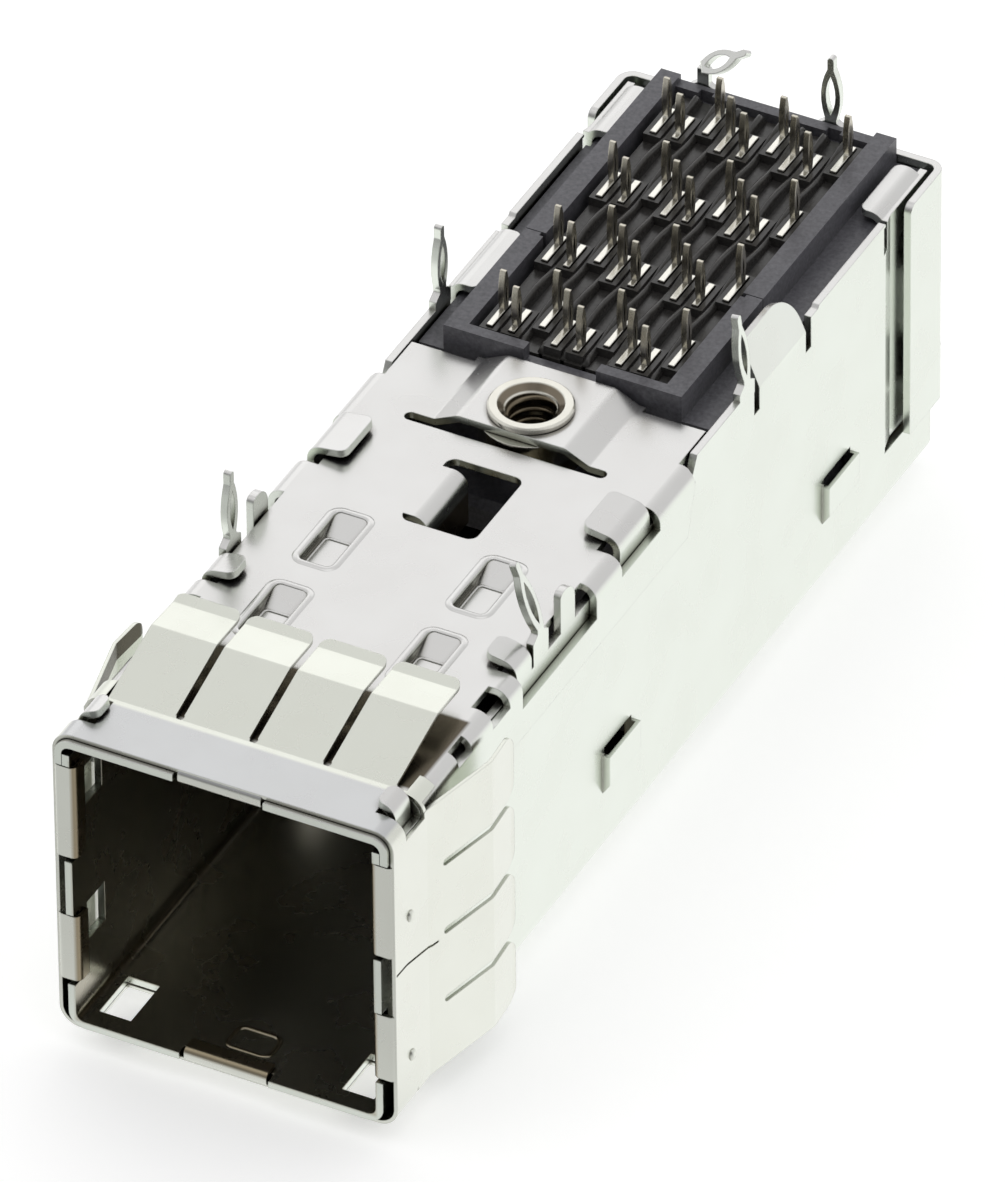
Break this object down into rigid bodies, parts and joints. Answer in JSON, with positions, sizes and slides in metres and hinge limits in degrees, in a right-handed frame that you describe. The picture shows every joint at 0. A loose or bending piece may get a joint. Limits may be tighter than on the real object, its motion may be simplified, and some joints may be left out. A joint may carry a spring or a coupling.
{
  "type": "connector cage",
  "caption": "Press-fit board connector in a folded shielding cage with spring fingers round its plug port.",
  "frame": {"origin": "middle of the outline in X and Y, at the level of the lowest spring finger crests", "axes": "+Y from the plug port to the rear, +Z towards the board that the pins press into, +X to the right seen from the port"},
  "size_m": [0.013, 0.0384, 0.0149],
  "materials": {
    "tinned_sheet": "matt tin over copper alloy sheet",
    "spring_sheet": "satin plated spring sheet",
    "nut_steel": "turned, plated steel",
    "housing_plastic": "black glass-filled moulding, slight sheen",
    "wafer_plastic": "black moulding",
    "contact_metal": "stamped copper alloy with matt tin"
  },
  "bodies": {
    "root": {"cage_body": "tinned_sheet", "board_plate": "tinned_sheet", "rear_cover": "tinned_sheet", "emi_gasket": "spring_sheet", "threaded_nut": "nut_steel", "front_housing": "housing_plastic", "rear_housing": "housing_plastic", "wafer_1": "wafer_plastic", "wafer_2": "wafer_plastic", "wafer_3": "wafer_plastic", "wafer_4": "wafer_plastic", "wafer_5": "wafer_plastic", "wafer_6": "wafer_plastic", "wafer_7": "wafer_plastic", "wafer_8": "wafer_plastic", "wafer_9": "wafer_plastic", "contact_1_1": "contact_metal", "contact_2_1": "contact_metal", "contact_3_1": "contact_metal", "contact_4_1": "contact_metal", "contact_1_2": "contact_metal", "contact_2_2": "contact_metal", "contact_3_2": "contact_metal", "contact_4_2": "contact_metal", "contact_1_3": "contact_metal", "contact_2_3": "contact_metal", "contact_3_3": "contact_metal", "contact_4_3": "contact_metal", "contact_1_4": "contact_metal", "contact_2_4": "contact_metal", "contact_3_4": "contact_metal", "contact_4_4": "contact_metal", "contact_1_5": "contact_metal", "contact_2_5": "contact_metal", "contact_3_5": "contact_metal", "contact_4_5": "contact_metal", "contact_1_6": "contact_metal", "contact_2_6": "contact_metal", "contact_3_6": "contact_metal", "contact_4_6": "contact_metal", "contact_1_7": "contact_metal", "contact_2_7": "contact_metal", "contact_3_7": "contact_metal", "contact_4_7": "contact_metal", "contact_1_8": "contact_metal", "contact_2_8": "contact_metal", "contact_3_8": "contact_metal", "contact_4_8": "contact_metal", "contact_1_9": "contact_metal", "contact_2_9": "contact_metal", "contact_3_9": "contact_metal", "contact_4_9": "contact_metal"}
  },
  "joints": []
}
